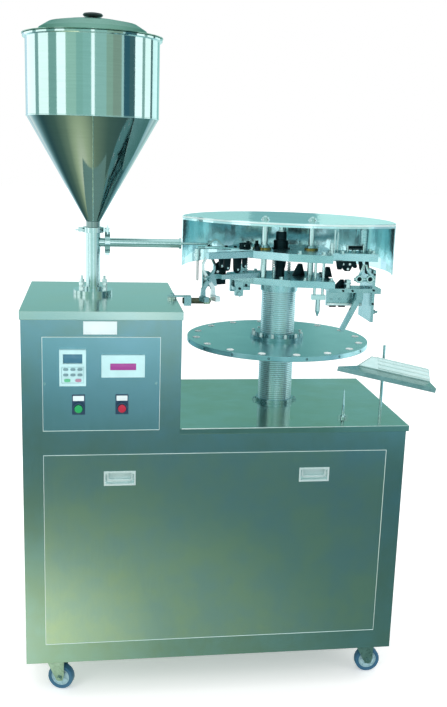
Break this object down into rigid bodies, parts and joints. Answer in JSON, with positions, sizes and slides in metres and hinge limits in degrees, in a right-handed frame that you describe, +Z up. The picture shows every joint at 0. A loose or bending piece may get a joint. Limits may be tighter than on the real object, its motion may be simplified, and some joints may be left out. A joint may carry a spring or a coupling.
{
  "type": "semi-automatic tube filling and closing machine",
  "caption": "Wheeled stainless cabinet with a piston dosing hopper on its tower and a covered tube closing head over an indexing turntable on a threaded column.",
  "frame": {"origin": "on the floor under the middle of the whole machine's bounding box", "axes": "+Z up, front with the control panel towards -Y, hopper towards -X"},
  "size_m": [1.1646, 0.6075, 1.8988],
  "materials": {
    "brushed_steel_sheet": "fine vertical brushed stainless sheet",
    "polished_steel_sheet": "mirror polished stainless sheet",
    "polished_steel_turned": "turned and polished stainless",
    "machined_steel": "machined stainless steel",
    "machined_aluminium": "machined aluminium plate",
    "dark_steel": "blackened steel, knurled",
    "painted_panel": "grey-blue satin panel",
    "cast_grey": "grey enamelled gear motor housing",
    "pale_housing": "moulded pale grey housing",
    "key_rubber": "silicone key mat",
    "screen_glass": "tinted display window",
    "holder_blue": "dark blue moulded holder",
    "button_green": "green push button",
    "button_red": "red push button",
    "knob_black": "black moulded knob",
    "tyre_blue": "dark blue polyurethane tyre",
    "zinc_fork": "zinc plated pressed steel",
    "nozzle_white": "natural nozzle tube",
    "sensor_bronze": "plated sensor barrel"
  },
  "bodies": {
    "cabinet": {"cabinet_shell": "brushed_steel_sheet", "table_top": "polished_steel_sheet", "tower_cover": "polished_steel_sheet", "back_panel": "brushed_steel_sheet", "inner_deck": "machined_steel", "control_panel": "painted_panel", "keypad_housing": "pale_housing", "key_mat": "key_rubber", "counter_bezel": "pale_housing", "display_windows": "screen_glass", "button_holders": "holder_blue", "caster_plates": "zinc_fork", "hopper": "polished_steel_sheet", "pipe_clamps": "polished_steel_turned", "metering_cylinder": "polished_steel_turned", "base_studs": "polished_steel_turned", "feed_pipe": "polished_steel_turned", "filling_valve": "polished_steel_turned", "filling_nozzle": "nozzle_white", "column_ring": "dark_steel", "inner_column": "machined_steel", "lower_plate": "machined_aluminium", "head_posts": "polished_steel_turned", "head_brackets": "machined_steel", "head_cover": "polished_steel_sheet", "chute_post": "polished_steel_turned", "guide_pin": "polished_steel_turned", "gear_motor": "cast_grey"},
    "swivel_front_left": {"caster_fork_front_left": "zinc_fork"},
    "wheel_front_left": {"caster_wheel_front_left": "tyre_blue"},
    "swivel_front_right": {"caster_fork_front_right": "zinc_fork"},
    "wheel_front_right": {"caster_wheel_front_right": "tyre_blue"},
    "swivel_rear_left": {"caster_fork_rear_left": "zinc_fork"},
    "wheel_rear_left": {"caster_wheel_rear_left": "tyre_blue"},
    "swivel_rear_right": {"caster_fork_rear_right": "zinc_fork"},
    "wheel_rear_right": {"caster_wheel_rear_right": "tyre_blue"},
    "door": {"front_door": "brushed_steel_sheet", "handle_pans": "polished_steel_sheet"},
    "bail_left": {"left_bail": "polished_steel_turned"},
    "bail_right": {"right_bail": "polished_steel_turned"},
    "start_push": {"start_button": "button_green"},
    "stop_push": {"stop_button": "button_red"},
    "lid": {"hopper_lid": "polished_steel_sheet", "lid_knob": "knob_black"},
    "piston": {"piston": "machined_steel"},
    "column_sleeve": {"index_column": "machined_steel", "index_wheel": "machined_steel"},
    "turntable": {"turntable": "machined_aluminium", "clamp_hub": "machined_steel"},
    "press": {"upper_plate": "machined_aluminium", "centre_nut": "dark_steel", "drive_shaft": "machined_steel", "centre_punch": "polished_steel_turned"},
    "tong_inner": {"inner_tong": "machined_steel"},
    "tong_outer": {"outer_tong": "machined_steel"},
    "ejector": {"ejector_lever": "machined_steel"},
    "sensor_swing": {"sensor_arm": "machined_steel", "sensor": "sensor_bronze"},
    "chute": {"chute_tray": "polished_steel_sheet"},
    "cams": {"cam_shaft": "machined_steel"}
  },
  "joints": [
    {"name": "swivel_turn_front_left", "type": "hinge", "parent": "cabinet", "child": "swivel_front_left", "pos_m": [-0.50634, -0.21825, 0.1], "axis": [0, 0, 1], "continuous": true},
    {"name": "wheel_roll_front_left", "type": "hinge", "parent": "swivel_front_left", "child": "wheel_front_left", "pos_m": [-0.48191, -0.22714, 0.0375], "axis": [0.342, 0.9397, 0], "continuous": true},
    {"name": "swivel_turn_front_right", "type": "hinge", "parent": "cabinet", "child": "swivel_front_right", "pos_m": [0.41366, -0.21825, 0.1], "axis": [0, 0, 1], "continuous": true},
    {"name": "wheel_roll_front_right", "type": "hinge", "parent": "swivel_front_right", "child": "wheel_front_right", "pos_m": [0.43966, -0.21825, 0.0375], "axis": [0, 1, 0], "continuous": true},
    {"name": "swivel_turn_rear_left", "type": "hinge", "parent": "cabinet", "child": "swivel_rear_left", "pos_m": [-0.50634, 0.16175, 0.1], "axis": [0, 0, 1], "continuous": true},
    {"name": "wheel_roll_rear_left", "type": "hinge", "parent": "swivel_rear_left", "child": "wheel_rear_left", "pos_m": [-0.48034, 0.16175, 0.0375], "axis": [0, 1, 0], "continuous": true},
    {"name": "swivel_turn_rear_right", "type": "hinge", "parent": "cabinet", "child": "swivel_rear_right", "pos_m": [0.41366, 0.16175, 0.1], "axis": [0, 0, 1], "continuous": true},
    {"name": "wheel_roll_rear_right", "type": "hinge", "parent": "swivel_rear_right", "child": "wheel_rear_right", "pos_m": [0.43966, 0.16175, 0.0375], "axis": [0, 1, 0], "continuous": true},
    {"name": "door_lift_off", "type": "slide", "parent": "cabinet", "child": "door", "axis": [0, -1, 0], "range_m": [0, 0.3]},
    {"name": "bail_swing_left", "type": "hinge", "parent": "door", "child": "bail_left", "pos_m": [-0.31834, -0.28655, 0.6782], "axis": [-1, 0, 0], "range_deg": [0, 75]},
    {"name": "bail_swing_right", "type": "hinge", "parent": "door", "child": "bail_right", "pos_m": [0.22366, -0.28655, 0.6782], "axis": [-1, 0, 0], "range_deg": [0, 75]},
    {"name": "start_press", "type": "slide", "parent": "cabinet", "child": "start_push", "axis": [0, 1, 0], "range_m": [0, 0.004], "stiffness_N_per_m": 600},
    {"name": "stop_press", "type": "slide", "parent": "cabinet", "child": "stop_push", "axis": [0, 1, 0], "range_m": [0, 0.004], "stiffness_N_per_m": 600},
    {"name": "lid_lift_off", "type": "slide", "parent": "cabinet", "child": "lid", "axis": [0, 0, 1], "range_m": [0, 0.25]},
    {"name": "piston_stroke", "type": "slide", "parent": "cabinet", "child": "piston", "axis": [0, 0, 1], "range_m": [0, 0.07]},
    {"name": "turntable_index", "type": "hinge", "parent": "cabinet", "child": "column_sleeve", "pos_m": [0.15866, -0.00825, 1], "axis": [0, 0, 1], "continuous": true},
    {"name": "turntable_height", "type": "slide", "parent": "column_sleeve", "child": "turntable", "axis": [0, 0, 1], "range_m": [-0.09, 0]},
    {"name": "press_stroke", "type": "slide", "parent": "cabinet", "child": "press", "axis": [0, 0, -1], "range_m": [0, 0.022]},
    {"name": "tong_inner_close", "type": "hinge", "parent": "cabinet", "child": "tong_inner", "pos_m": [-0.06333, -0.10709, 1.186], "axis": [0.4067, -0.9135, 0], "range_deg": [-10, 0]},
    {"name": "tong_outer_close", "type": "hinge", "parent": "cabinet", "child": "tong_outer", "pos_m": [-0.06333, -0.10709, 1.186], "axis": [0.4067, -0.9135, 0], "range_deg": [0, 10]},
    {"name": "ejector_kick", "type": "hinge", "parent": "cabinet", "child": "ejector", "pos_m": [0.37766, -0.09525, 1.138], "axis": [0, -1, 0], "range_deg": [0, 26]},
    {"name": "sensor_turn", "type": "hinge", "parent": "cabinet", "child": "sensor_swing", "pos_m": [-0.16634, -0.07825, 1.131], "axis": [0, 0, 1], "range_deg": [-3, 12]},
    {"name": "chute_turn", "type": "hinge", "parent": "cabinet", "child": "chute", "pos_m": [0.45366, -0.13825, 0.945], "axis": [0, 0, 1], "range_deg": [0, 30]},
    {"name": "cam_turn", "type": "hinge", "parent": "cabinet", "child": "cams", "pos_m": [-0.04634, -0.00825, 0.52], "axis": [1, 0, 0], "continuous": true}
  ],
  "couplings": [
    {"joint": "tong_inner_close", "follows": "press_stroke", "rad_per_m": -7.14},
    {"joint": "tong_outer_close", "follows": "press_stroke", "rad_per_m": 7.14},
    {"joint": "ejector_kick", "follows": "press_stroke", "rad_per_m": 19.833}
  ]
}
